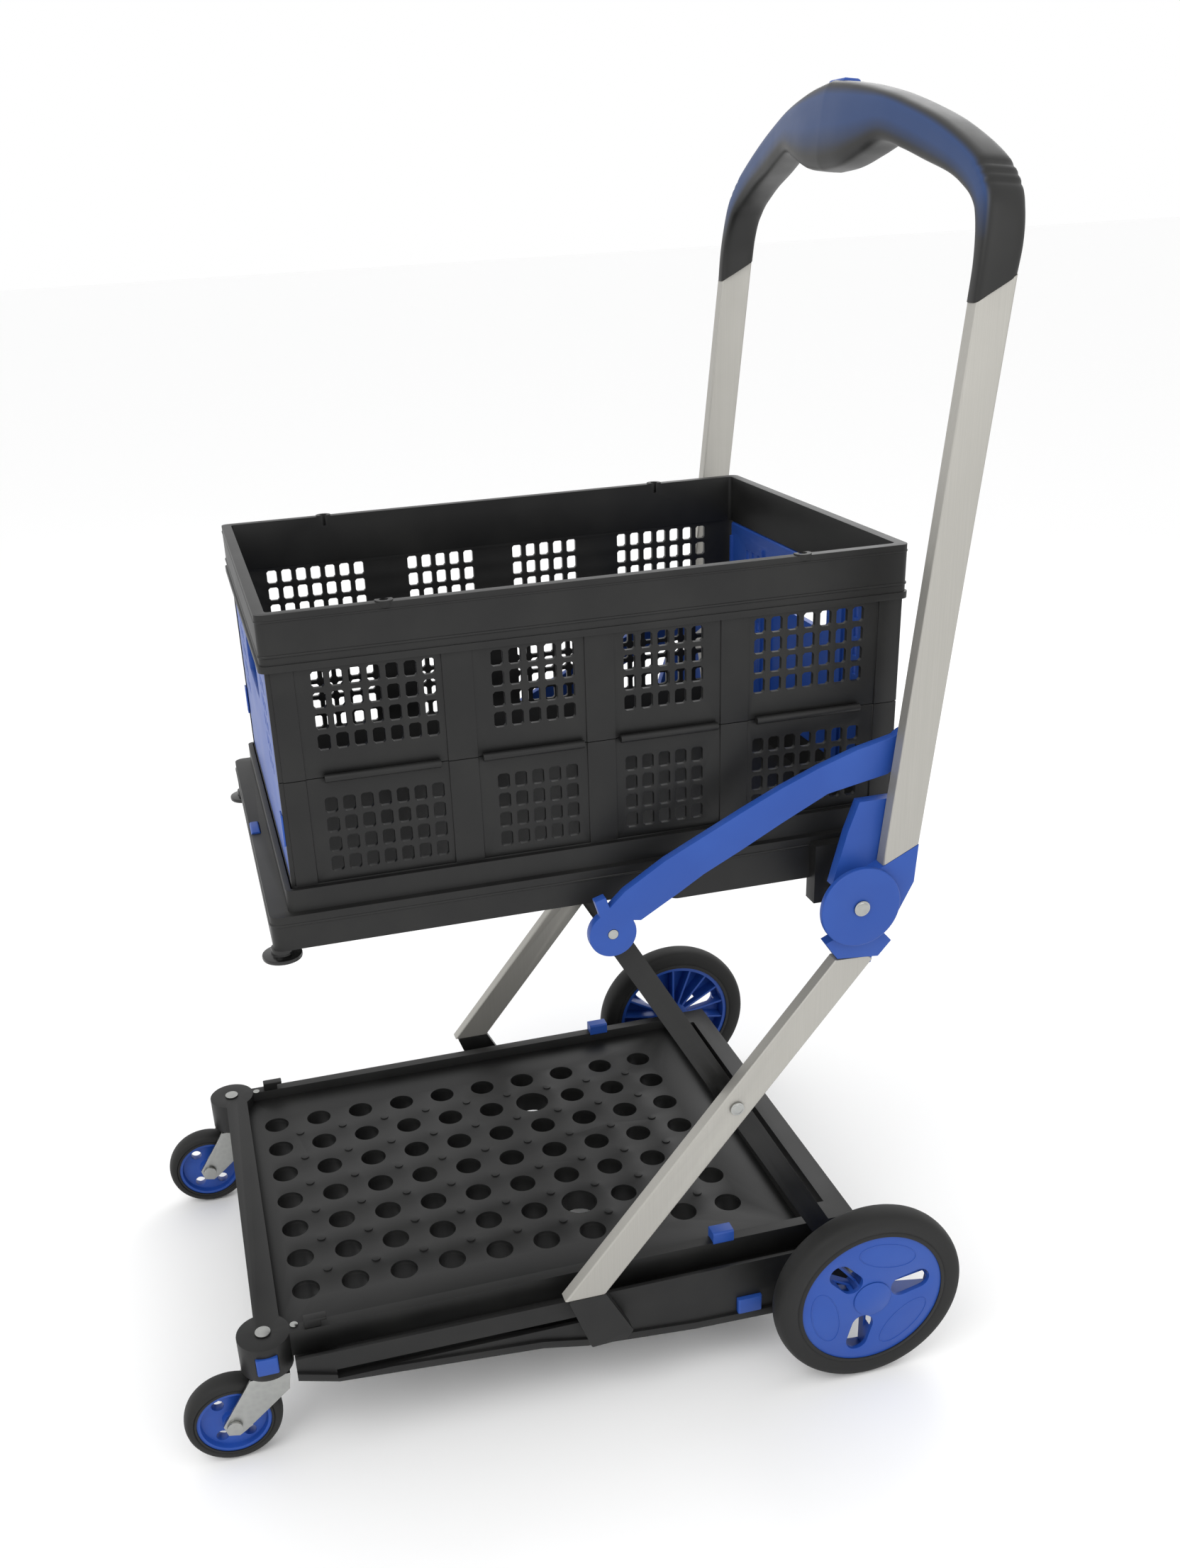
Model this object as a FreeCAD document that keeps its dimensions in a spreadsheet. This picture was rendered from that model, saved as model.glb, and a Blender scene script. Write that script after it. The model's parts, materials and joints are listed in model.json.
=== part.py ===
import FreeCAD, Part
import Sketcher
import os
import re

# Folding platform cart. Millimetres, +Z up, floor at z = 0. The casters are at the front (-Y),
# the wheels and the push handle at the rear (+Y). The cart is symmetric about the plane X = 0.

os.makedirs("parts", exist_ok=True)
doc = FreeCAD.newDocument("platform_cart")
Vec = FreeCAD.Vector

SIZES = {
    # platform
    "deck_half": 180, "deck_front": -241, "deck_back": 222, "deck_top": 110, "deck_thick": 4,
    "rail_top": 120, "rail_wide": 10, "rail_deep": 24, "front_bar": 21, "rear_bar": 46,
    "hole_pitch": 43, "hole_rad": 12, "big_hole_rad": 16.5, "pip_rad": 4, "pip_tall": 1.2,
    "wall_in": 205, "wall_thick": 3.5, "wall_top": 107, "lip_out": 3, "lip_tall": 7,
    "wall_front": -233, "wall_end": 275, "keel_front": 88, "keel_low": 45, "slot_half": 3.4,
    "boss_rad": 22, "boss_low": 88.5, "king_x": 182.9, "king_y": -255.6, "king_rad": 5,
    "rear_slot_half": 166, "rear_slot_wide": 8,
    # wheels
    "axle_y": 252, "axle_up": 85, "axle_rad": 6, "run_gap": 0.05,
    "tyre_rad": 85, "rim_rad": 64.3, "wheel_in": 237, "wheel_wide": 23, "crown": 7,
    "hub_core": 17, "slot_reach": 38, "rib_thick": 2.2,
    "caster_rad": 41, "caster_rim": 31, "caster_wide": 20, "trail": 34, "fork_half": 14.5,
    "fork_sheet": 2.2, "fork_top": 85.5, "race_rad": 17, "bolt_rad": 4,
    # scissor legs
    "leg_pitch": 60.255, "leg_low": 226.9, "leg_high": 192.3,
    "inner_leg_x": 192, "inner_leg_thick": 11.5, "inner_leg_wide": 18,
    "tube_wide": 27.2, "tube_thick": 12.4, "tube_wall": 1.6, "leg_x": 213.2, "leg_lean": 50.6,
    "leg_start": 236, "leg_end": 160, "pin_rad": 4,
    # top tray
    "tray_half": 178.6, "tray_front": -204, "tray_back": 312, "tray_rim": 488, "tray_low": 461,
    "tray_floor": 466, "floor_thick": 4, "collar_top": 505, "skirt_low": 453, "skirt_start": 102,
    "ear_out": 189.5, "wall_play": 1,
    # crate
    "crate_half": 169.5, "crate_front": -187.4, "crate_back": 292.3, "crate_top": 707,
    "band_low": 667, "band_thick": 8, "body_inset": 2.5, "panel_thick": 4, "fold_line": 586.5,
    "crate_low": 470.5, "sill_top": 506, "cell_pitch": 13, "row_pitch": 15.2,
    "cell_wide": 8.8, "cell_tall": 11.6, "cell_corner": 1.6, "end_inset": 9,
    "end_thick": 5, "hold_half": 52, "barrel_rad": 3,
    # handle
    "handle_lean": 6.05, "handle_x": 216.3, "handle_axis": 268.6, "handle_low": 485,
    "handle_long": 398.9, "grip_deep": 30, "grip_top": 1020, "hub_rad": 32.5, "hub_face": 235,
    "arm_x": 204.5, "arm_thick": 8, "disc_rad": 18.5, "joint_reach": 124.9, "joint_angle": 70.3,
}

sheet = doc.addObject("Spreadsheet::Sheet", "sizes")
for row, (alias, number) in enumerate(SIZES.items(), start=1):
    sheet.set("A%d" % row, alias)
    sheet.set("B%d" % row, str(number))
    sheet.setAlias("B%d" % row, alias)
doc.recompute()


def full(expression):
    """Write sheet aliases in an expression as references to the sheet."""
    def refer(match):
        word = match.group(0)
        return "sizes." + word if word in SIZES else word
    return re.sub(r"[A-Za-z_][A-Za-z_0-9]*", refer, str(expression))


def val(expression):
    """The present value of an expression, in millimetres."""
    return float(sheet.evalExpression(full(expression)))


# Pivots of the linkage, as expressions: the inner legs turn on the rear axle.
CROSS_Y = "(axle_y - leg_low * cos(leg_pitch))"
CROSS_Z = "(axle_up + leg_low * sin(leg_pitch))"
HUB_Y = "(%s + leg_high * cos(leg_pitch))" % CROSS_Y
HUB_Z = "(%s + leg_high * sin(leg_pitch))" % CROSS_Z
KNEE_Y = "(%s - leg_high * cos(leg_pitch))" % CROSS_Y
KNEE_Z = HUB_Z
FOOT_Y = "(%s - leg_low * cos(leg_pitch))" % CROSS_Y
FOOT_Z = "axle_up"
JOINT_Y = "(%s + joint_reach * cos(joint_angle))" % HUB_Y
JOINT_Z = "(%s + joint_reach * sin(joint_angle))" % HUB_Z
CRATE_MID = "((crate_front + crate_back) / 2)"
BODY_HALF = "(crate_half - body_inset)"
BODY_FRONT = "(crate_front + body_inset)"
BODY_BACK = "(crate_back - body_inset)"
LEG_OUT = "(leg_x + tube_thick)"
HANDLE_OUT = "(handle_x + tube_thick)"

nodes = {}
count = [0]


def fresh(kind, label):
    """A new document object with its own label."""
    count[0] += 1
    item = doc.addObject(kind, "o%d" % count[0])
    item.Label = "%s_%d" % (label, count[0])
    return item


def bind(item, settings):
    for name, expression in settings.items():
        item.setExpression(name, full(expression))


def place(item, x, y, z):
    bind(item, {"Placement.Base.x": x, "Placement.Base.y": y, "Placement.Base.z": z})
    return item


def box(x, y, z, long_x, long_y, long_z):
    item = fresh("Part::Box", "box")
    bind(item, {"Length": long_x, "Width": long_y, "Height": long_z})
    return place(item, x, y, z)


TURNS = {"x": FreeCAD.Rotation(Vec(0, 1, 0), 90), "y": FreeCAD.Rotation(Vec(1, 0, 0), -90),
         "z": FreeCAD.Rotation()}


def rod(axis, x, y, z, radius, height):
    """A round bar that starts at x, y, z and runs along an axis."""
    item = fresh("Part::Cylinder", "rod")
    item.Placement = FreeCAD.Placement(Vec(), TURNS[axis])
    bind(item, {"Radius": radius, "Height": height})
    return place(item, x, y, z)


def fuse(*items):
    item = fresh("Part::MultiFuse", "fuse")
    item.Shapes = list(items)
    item.Refine = True
    return item


def cut(base, *tools):
    item = fresh("Part::Cut", "cut")
    item.Base = base
    item.Tool = tools[0] if len(tools) == 1 else fuse(*tools)
    return item


def group(*items):
    """Separate solids that share one node."""
    item = fresh("Part::Compound", "group")
    item.Links = list(items)
    return item


def mirror(source):
    item = fresh("Part::Mirroring", "mirror")
    item.Source = source
    item.Normal = Vec(1, 0, 0)
    return item


def rounded(base, radius, test):
    """Fillet the edges of an object for which test(edge) holds."""
    doc.recompute()
    size = val(radius)
    edges = [(i, size, size) for i, edge in enumerate(base.Shape.Edges, start=1) if test(edge)]
    item = fresh("Part::Fillet", "round")
    item.Base = base
    item.Edges = edges
    return item


def along(axis):
    """A test for straight edges that run along an axis."""
    def check(edge):
        if not isinstance(edge.Curve, Part.Line):
            return False
        return abs(edge.Curve.Direction.dot(axis)) > 0.999
    return check


def sketch_on(body, plane, points):
    """A closed outline whose corners are held by dimensions bound to the sheet."""
    sketch = body.newObject("Sketcher::SketchObject", "outline")
    origin_plane = [f for f in body.Origin.OriginFeatures if f.Role == plane][0]
    sketch.AttachmentSupport = [(origin_plane, "")]
    sketch.MapMode = "FlatFace"
    here = [Vec(val(a), val(b), 0) for a, b in points]
    total = len(points)
    for i in range(total):
        sketch.addGeometry(Part.LineSegment(here[i], here[(i + 1) % total]), False)
    for i in range(total):
        sketch.addConstraint(Sketcher.Constraint("Coincident", i, 2, (i + 1) % total, 1))
    for i, (a, b) in enumerate(points):
        for kind, expression, start in (("DistanceX", a, here[i].x), ("DistanceY", b, here[i].y)):
            index = sketch.addConstraint(Sketcher.Constraint(kind, -1, 1, i, 1, start))
            sketch.setExpression("Constraints[%d]" % index, full(expression))
    return sketch


def near(y, z, offsets):
    """Outline points given as distances from a pivot."""
    return [("%s + %g" % (y, along_y), "%s + %g" % (z, along_z)) for along_y, along_z in offsets]


def slab(points, start, thick, round_all=None, test=None):
    """A plate cut to an outline in Y and Z, padded along +X from start."""
    body = fresh("PartDesign::Body", "slab")
    sketch = sketch_on(body, "YZ_Plane", points)
    pad = body.newObject("PartDesign::Pad", "pad")
    pad.Profile = sketch
    bind(pad, {"Length": thick})
    if round_all is not None:
        doc.recompute()
        names = ["Edge%d" % i for i, e in enumerate(pad.Shape.Edges, start=1) if test(e)]
        fillet = body.newObject("PartDesign::Fillet", "soften")
        fillet.Base = (pad, names)
        bind(fillet, {"Radius": round_all})
        body.Tip = fillet
    return place(body, start, 0, 0)


def turned(points, x, y, z, soft=None, test=None):
    """A turned piece: the outline, in X and radius, is revolved about an X axis."""
    body = fresh("PartDesign::Body", "turned")
    sketch = sketch_on(body, "XY_Plane", points)
    spin = body.newObject("PartDesign::Revolution", "spin")
    spin.Profile = sketch
    spin.ReferenceAxis = (sketch, ["H_Axis"])
    spin.Angle = 360
    if soft is not None:
        doc.recompute()
        names = ["Edge%d" % i for i, e in enumerate(spin.Shape.Edges, start=1) if test(e)]
        fillet = body.newObject("PartDesign::Fillet", "soften")
        fillet.Base = (spin, names)
        bind(fillet, {"Radius": soft})
        body.Tip = fillet
    return place(body, x, y, z)


def solid(shape):
    """A piece whose lattice or sweep is made straight from values read from the sheet."""
    item = fresh("Part::Feature", "made")
    item.Shape = shape
    return item


def node(name, item):
    nodes[name] = item
    item.Label = name
    return item


def pair(name, item):
    """A left piece and its mirror image."""
    return node(name + "_left", item), node(name + "_right", mirror(item))


def both(name, item):
    """Identical pieces on the left and the right that share one node."""
    return node(name, group(item, mirror(item)))


def ring_edge(radius):
    """A test for whole circles of a radius."""
    def check(edge):
        return isinstance(edge.Curve, Part.Circle) and abs(edge.Curve.Radius - radius) < 0.01
    return check


def spun(y, z, angle, length):
    """Expressions of a point that lies at an angle and a distance from a pivot."""
    return "(%s + %s * cos(%s))" % (y, length, angle), "(%s + %s * sin(%s))" % (z, length, angle)


# Platform --------------------------------------------------------------------------------

def make_platform():
    rail_y = "deck_back + rear_bar - deck_front"
    rail_z = "rail_top - rail_deep"
    rails = [box(x, "deck_front", rail_z, "rail_wide", rail_y, "rail_deep")
             for x in ("deck_half", "-deck_half - rail_wide")]
    front = box("-deck_half - rail_wide", "deck_front - front_bar", rail_z,
                "2 * (deck_half + rail_wide)", "front_bar", "rail_deep")
    rear = box("-deck_half", "deck_back", rail_z, "2 * deck_half", "rear_bar", "rail_deep")
    bosses = [rod("z", x, "king_y", "boss_low", "boss_rad", "rail_top - boss_low")
              for x in ("king_x", "-king_x")]
    cheeks = [box(x, "deck_back", "axle_up - 14", "rail_wide - 4", "rear_bar", "rail_top - axle_up")
              for x in ("deck_half", "-deck_half - rail_wide + 4")]
    body = fuse(front, rear, *(rails + bosses + cheeks))
    bores = [rod("z", x, "king_y", "boss_low - 1", "king_rad + run_gap", "rail_top")
             for x in ("king_x", "-king_x")]
    bores.append(rod("x", "-wall_in", "axle_y", "axle_up", "axle_rad", "2 * wall_in"))
    slot = box("-rear_slot_half", "deck_back + rear_bar / 2 - rear_slot_wide / 2", "rail_top - 30",
               "2 * rear_slot_half", "rear_slot_wide", 40)
    pockets = [box(x, "king_y - 9.3", "rail_top - 24.3", 11, 18.6, 16.6)
               for x in ("king_x + boss_rad - 9", "-king_x - boss_rad - 2")]
    node("base_frame", cut(body, slot, *(bores + pockets)))
    pair("corner_button", rounded(
        box("king_x + boss_rad - 7.6", "king_y - 9", "rail_top - 24", 9, 18, 16), 2,
        along(Vec(0, 0, 1))))


def make_side_channels():
    keel = [("wall_front", "keel_front"), (-200, "keel_front - 10"), (-27, "keel_front - 23"),
            (12, "keel_front - 31"), (110, "keel_low + 4"), ("wall_end", "keel_low")]
    top = [("wall_end", "wall_top"), ("wall_front", "wall_top")]
    wall = slab(keel + top, "wall_in", "wall_thick")
    lip = slab(keel + [(y, "%s + lip_tall" % z) for y, z in reversed(keel)],
               "wall_in + wall_thick - 0.5", "lip_out + 0.5")
    floor = slab(keel + [(y, "%s + 3" % z) for y, z in reversed(keel)],
                 "deck_half + rail_wide - 4", "wall_in - deck_half - rail_wide + 5")
    inner = slab(keel + [("wall_end", "rail_top - rail_deep"), ("wall_front", "rail_top - rail_deep")],
                 "deck_half + rail_wide - 4", 3.6)
    end = box("deck_half + rail_wide - 4", "wall_end - 4", "keel_low",
              "wall_in - deck_half - rail_wide + 5", 4, "wall_top - keel_low")
    reach = "%s + 8 - (axle_y - 2 * leg_low * cos(8.255)) + 4" % FOOT_Y
    track = box("wall_in - 2", "axle_y - 2 * leg_low * cos(8.255) - 4", "axle_up - slot_half",
                "wall_thick + lip_out + 4", reach, "2 * slot_half")
    bore = rod("x", "deck_half", "axle_y", "axle_up", "axle_rad", 40)
    window = box("wall_in - 1", 149, "keel_low + 10", 9, 23, 16)
    node("side_channel_left", cut(fuse(wall, lip, floor, inner, end), track, bore, window))
    node("side_channel_right", mirror(nodes["side_channel_left"]))
    pair("side_tab", rounded(box("wall_in + 0.6", 149.4, "keel_low + 10.4", 7, 22.2, 15.2), 2,
                             along(Vec(0, 0, 1))))


def make_deck():
    half, front, back = val("deck_half"), val("deck_front"), val("deck_back")
    low, thick, pitch = val("deck_top - deck_thick"), val("deck_thick"), val("hole_pitch")
    outline = Part.makePolygon([Vec(-half, front, low), Vec(half, front, low), Vec(half, back, low),
                                Vec(-half, back, low), Vec(-half, front, low)])
    across = int((half - val("hole_rad")) // pitch)
    rows = int((back - front - 2 * val("hole_rad")) // pitch)
    first_y = front + 26
    wires = [outline]
    for i in range(-across, across + 1):
        if abs(i * pitch) > half - 2 * val("hole_rad"):
            continue
        for j in range(rows):
            large = abs(i) == 2 and j == 6
            radius = val("big_hole_rad") if large else val("hole_rad")
            wires.append(Part.Wire(Part.makeCircle(radius, Vec(i * pitch, first_y + j * pitch, low))))
    plate = Part.makeFace(wires, "Part::FaceMakerBullseye").extrude(Vec(0, 0, thick))
    pips = [Part.makeCylinder(val("pip_rad"), val("pip_tall") + 1,
                              Vec((i + 0.5) * pitch, first_y + (j + 0.5) * pitch, low + thick - 1))
            for i in range(-across, across) for j in range(rows - 1)]
    bosses = [Part.makeCylinder(val("boss_rad"), 40, Vec(x, val("king_y"), low - 20))
              for x in (val("king_x"), -val("king_x"))]
    node("deck_panel", solid(plate.cut(Part.makeCompound(bosses)).multiFuse(pips).removeSplitter()))


def make_platform_fittings():
    node("rear_axle", rod("x", "-wheel_in - wheel_wide + 6", "axle_y", "axle_up", "axle_rad",
                          "2 * (wheel_in + wheel_wide - 6)"))
    heads = [rod("z", x, y, "rail_top", radius, 1.2)
             for x, y, radius in (("deck_half + 1.5", "deck_front + 11", 3.4),
                                  ("-deck_half - 1.5", "deck_front + 11", 3.4))]
    node("base_screws", group(*heads))
    hooks = []
    for x in ("deck_half + 1", "-deck_half - 9"):
        hooks.append(fuse(box(x, "deck_front + 19", "rail_top", 8, 14, 8),
                          box(x, "deck_front + 19", "rail_top + 5", 8, 19, 3)))
    node("deck_hooks", group(*hooks))
    clips = [rounded(box(x, 134, "rail_top - 2", 12.8, 19, 12), 2, along(Vec(0, 1, 0)))
             for x in ("deck_half - 2", "-deck_half - 10.8")]
    body = [cut(clip, box(x, 130, "rail_top - 3", "rail_wide", 30, 3))
            for clip, x in zip(clips, ("deck_half", "-deck_half - rail_wide"))]
    node("deck_clips", group(*body))


# Wheels ----------------------------------------------------------------------------------

def make_rear_wheels():
    rim, tyre, wide = "rim_rad", "tyre_rad", "wheel_wide"
    rubber = turned([(0, rim), (wide, rim), (wide, tyre), (0, tyre)],
                    "wheel_in", "axle_y", "axle_up", "crown", ring_edge(val(tyre)))
    node("rear_tyre_left", rubber)
    hub = turned([(1.5, "axle_rad + run_gap"), (wide + " - 1", "axle_rad + run_gap"),
                  (wide + " - 1", rim), (1.5, rim), (1.5, "rim_rad - 4"),
                  (wide + " - 5", "rim_rad - 4"), (wide + " - 5", "hub_core"), (1.5, "hub_core")],
                 "wheel_in", "axle_y", "axle_up")
    doc.recompute()
    centre = Vec(0, val("axle_y"), val("axle_up"))
    core, reach, inner = val("hub_core"), val("slot_reach"), val("rim_rad - 2")
    base_x, deep, thick = val("wheel_in + 3"), val("wheel_wide - 7"), val("rib_thick")
    ribs = []
    for k in range(18):
        rib = Part.makeBox(deep, thick, inner - core + 1, Vec(base_x, -thick / 2, core - 1))
        rib.rotate(Vec(), Vec(1, 0, 0), 20 * k)
        rib.translate(centre)
        ribs.append(rib)
    slots, wide_half = [], 10
    for k in range(3):
        face_x = val("wheel_in + wheel_wide - 12")
        ends = [Part.makeCylinder(wide_half, 14, Vec(face_x, 0, z), Vec(1, 0, 0))
                for z in (reach - 10, reach + 6)]
        middle = Part.makeBox(14, 2 * wide_half, 16, Vec(face_x, -wide_half, reach - 10))
        slot = ends[0].multiFuse([ends[1], middle])
        slot.rotate(Vec(), Vec(1, 0, 0), 120 * k - 76)
        slot.translate(centre)
        slots.append(slot)
    node("rear_hub_left", solid(hub.Shape.cut(Part.makeCompound(slots)).multiFuse(
        [rib.cut(Part.makeCompound(slots)) for rib in ribs]).removeSplitter()))
    doc.removeObject(hub.Name)
    node("rear_tyre_right", mirror(nodes["rear_tyre_left"]))
    node("rear_hub_right", mirror(nodes["rear_hub_left"]))
    cap = turned([(0, 0), (0, "hub_core"), (0.6, "hub_core"), (1.2, "hub_core - 1"), (1.2, 0)],
                 "wheel_in + wheel_wide - 1 + 0.3", "axle_y", "axle_up")
    neck = rod("x", "wheel_in + wheel_wide - 6", "axle_y", "axle_up", "axle_rad - 1", 6)
    both("axle_caps", fuse(cap, neck))


def make_casters():
    wide, rim, tyre = "caster_wide", "caster_rim", "caster_rad"
    axle_y = "king_y - trail"
    rubber = turned([(0, rim), (wide, rim), (wide, tyre), (0, tyre)],
                    "king_x - caster_wide / 2", axle_y, tyre, 5.5, ring_edge(val(tyre)))
    hub = turned([(1, "bolt_rad + run_gap"), (wide + " - 1", "bolt_rad + run_gap"), (wide + " - 1", 9),
                  (wide + " - 6", 10), (wide + " - 6", rim + " - 4"), (wide + " - 1", rim + " - 3"),
                  (wide + " - 1", rim), (1, rim), (1, rim + " - 3"), (6, rim + " - 4"), (6, 10), (1, 9)],
                 "king_x - caster_wide / 2", axle_y, tyre)
    windows = []
    for side in (-1, 1):
        for angle in (55, 125):
            y, z = spun(axle_y, tyre, side * angle, 20)
            windows.append(rod("x", "king_x - 20", y, z, 5.2, 40))
    pair("caster_tyre", rubber)
    pair("caster_hub", cut(hub, *windows))
    cheek = [(axle_y + " + 9", "caster_rad - 6"), ("king_y + 15", "fork_top - 16"),
             ("king_y + 17", "fork_top"), ("king_y - 16", "fork_top"),
             (axle_y + " - 9", "caster_rad + 2"), (axle_y + " - 6", "caster_rad - 8"),
             (axle_y + " + 3", "caster_rad - 10")]
    cheeks = [slab(cheek, x, "fork_sheet")
              for x in ("king_x - fork_half", "king_x + fork_half - fork_sheet")]
    crown = box("king_x - fork_half", "king_y - 16", "fork_top - fork_sheet + 0.2", "2 * fork_half",
                33, "fork_sheet - 0.2")
    crown = cut(crown, rod("z", "king_x", "king_y", 0, "king_rad", 200))
    race = cut(rod("z", "king_x", "king_y", "fork_top", "race_rad", "boss_low - fork_top - 0.3"),
               rod("z", "king_x", "king_y", 0, "king_rad", 200))
    bores = rod("x", "king_x - 30", axle_y, tyre, "bolt_rad", 60)
    pair("caster_fork", cut(fuse(crown, race, *cheeks), bores))
    pin = fuse(rod("z", "king_x", "king_y", "fork_top - fork_sheet + 0.2", "king_rad",
                   "rail_top + 0.3 - fork_top + fork_sheet - 0.2"),
               rod("z", "king_x", "king_y", "rail_top + 0.3", "king_rad + 1.5", 1.2))
    pair("king_pin", pin)
    bolt = fuse(rod("x", "king_x - fork_half", axle_y, tyre, "bolt_rad", "2 * fork_half"),
                rod("x", "king_x + fork_half", axle_y, tyre, "bolt_rad + 2.5", 2.6),
                rod("x", "king_x - fork_half - 2.6", axle_y, tyre, "bolt_rad + 2.5", 2.6))
    pair("caster_bolt", bolt)


# Scissor legs ----------------------------------------------------------------------------

def bar_points(y1, z1, angle, start, end, half, shift="0"):
    """Corners of a straight bar through a pivot, at an angle, from start to end along it."""
    corners = []
    for reach, side in ((start, "-1"), (end, "-1"), (end, "1"), (start, "1")):
        off = "(%s + %s * (%s))" % (shift, side, half)
        y = "(%s + (%s) * cos(%s) - %s * sin(%s))" % (y1, reach, angle, off, angle)
        z = "(%s + (%s) * sin(%s) + %s * cos(%s))" % (z1, reach, angle, off, angle)
        corners.append((y, z))
    return corners


def make_inner_legs():
    angle = "(180 - leg_pitch)"
    bar = slab(bar_points("axle_y", "axle_up", angle, 0, "leg_low + leg_high", "inner_leg_wide / 2"),
               "inner_leg_x", "inner_leg_thick")
    ends = [rod("x", "inner_leg_x", y, z, "inner_leg_wide / 2", "inner_leg_thick")
            for y, z in (("axle_y", "axle_up"), (KNEE_Y, KNEE_Z))]
    bores = [rod("x", "inner_leg_x - 5", y, z, radius, 30)
             for y, z, radius in (("axle_y", "axle_up", "axle_rad + run_gap"),
                                  (KNEE_Y, KNEE_Z, "pin_rad"), (CROSS_Y, CROSS_Z, "pin_rad"))]
    pair("inner_leg", cut(fuse(bar, *ends), *bores))
    for name, y, z, start, end in (("cross_pins", CROSS_Y, CROSS_Z, "inner_leg_x", LEG_OUT + " + 0.3"),
                                   ("knee_pins", KNEE_Y, KNEE_Z, "inner_leg_x", "arm_x + arm_thick + 0.1")):
        shank = rod("x", start, y, z, "pin_rad", "%s - %s" % (end, start))
        head = rod("x", end, y, z, "pin_rad + 1.8", 0.9 if name == "knee_pins" else 1.6)
        foot = rod("x", "inner_leg_x - 1.8", y, z, "pin_rad + 2", 1.8)
        if name == "knee_pins":
            both(name, fuse(shank, foot))
        else:
            both(name, fuse(shank, head, foot))


def leg_bar(start, end, half, x, thick):
    """A piece of the outer leg, measured along its axis from the crossing pivot."""
    return slab(bar_points(CROSS_Y, CROSS_Z, "leg_lean", start, end, half), x, thick)


def make_outer_legs():
    tube = leg_bar("-leg_start", "leg_end", "tube_wide / 2", "leg_x", "tube_thick")
    hollow = leg_bar("-leg_start - 30", "leg_end + 20", "tube_wide / 2 - tube_wall", "leg_x + tube_wall",
                     "tube_thick - 2 * tube_wall")
    trims = [box("leg_x - 5", -100, 0, 30, 200, "axle_up + 37"),
             slab(near(HUB_Y, HUB_Z, [(-60, -46), (60, -50), (60, 20), (-60, 20)]),
                  "leg_x - 5", 30)]
    bore = rod("x", "leg_x - 5", CROSS_Y, CROSS_Z, "pin_rad + run_gap", 30)
    pair("outer_leg", cut(rounded(tube, 1.6, lambda e: e.Length > 100), hollow, bore, *trims))
    foot = slab([("%s - 15" % FOOT_Y, "axle_up - 17"), ("%s + 16" % FOOT_Y, "axle_up - 15"),
                 ("%s + 22" % FOOT_Y, "axle_up - 8"), ("%s - 1.4" % FOOT_Y, "axle_up + 36.8"),
                 ("%s - 34" % FOOT_Y, "axle_up + 36.8")], "leg_x - 0.4", "tube_thick + 0.8",
                2, along(Vec(1, 0, 0)))
    slider = rod("x", "wall_in + 0.5", FOOT_Y, FOOT_Z, "slot_half - 0.4", "leg_x - wall_in")
    both("leg_feet", fuse(foot, slider))
    lower = near(HUB_Y, HUB_Z, [(-14, -45.6), (20.5, -49), (31, -37), (24, -29), (12, -25.6),
                    (-12, -25.6), (-24, -31)])
    neck = slab(lower, "handle_x - 0.2", "tube_thick - 2")
    web = slab(near(HUB_Y, HUB_Z, [(-14, -25.6), (-12, -30), (12, -30), (14, -25.6)]),
               "handle_x + 6", "tube_thick - 4")
    disc = rounded(rod("x", HANDLE_OUT + " + 0.6", HUB_Y, HUB_Z, "hub_rad",
                       "hub_face - (%s) - 0.6" % HANDLE_OUT), 1.5, ring_edge(val("hub_rad")))
    doc.recompute()
    bore = rod("x", "leg_x - 40", HUB_Y, HUB_Z, "pin_rad + 1", 100)
    pair("hub", cut(fuse(neck, web, disc), bore))
    shank = rod("x", "tray_half + 2.5", HUB_Y, HUB_Z, "pin_rad + 1", "hub_face - tray_half - 2.5")
    head = rod("x", "hub_face", HUB_Y, HUB_Z, "pin_rad + 2.4", 1.4)
    both("hub_pins", fuse(shank, head))
    lever = slab(near(HUB_Y, HUB_Z, [(20, -38), (25, -40), (22, -62), (17.5, -62)]),
                 "leg_x - 4.6", 4.2, 1.2, along(Vec(1, 0, 0)))
    ear = rod("x", "leg_x - 4.6", "%s + 22" % HUB_Y, "%s - 39" % HUB_Z, 3.4, 4.2)
    pair("release_lever", fuse(lever, ear))


# Brace arms ------------------------------------------------------------------------------

def make_brace_arms():
    low_edge = [(22, 8), (51, 25), (72, 38), (100, 52), (134, 70), (170, 88), (218, 97)]
    high_edge = [(238, 111), (236, 131), (220, 126), (193, 120), (163, 110), (133, 98), (103, 84),
                 (42, 54), (10, 34), (-11, 14)]
    arm = slab(near(KNEE_Y, KNEE_Z, low_edge + high_edge), "arm_x", "arm_thick")
    disc = rod("x", "arm_x", KNEE_Y, KNEE_Z, "disc_rad", "arm_thick")
    tip = rod("x", "arm_x", JOINT_Y, JOINT_Z, 14, "arm_thick")
    peg = slab(bar_points(KNEE_Y, KNEE_Z, 107, "disc_rad - 3", "disc_rad + 13", 4.5), "arm_x", "arm_thick")
    bore = rod("x", "arm_x - 5", KNEE_Y, KNEE_Z, "pin_rad + run_gap", 30)
    pair("brace_arm", cut(fuse(arm, disc, tip, peg), bore))


# Tray ------------------------------------------------------------------------------------

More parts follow.
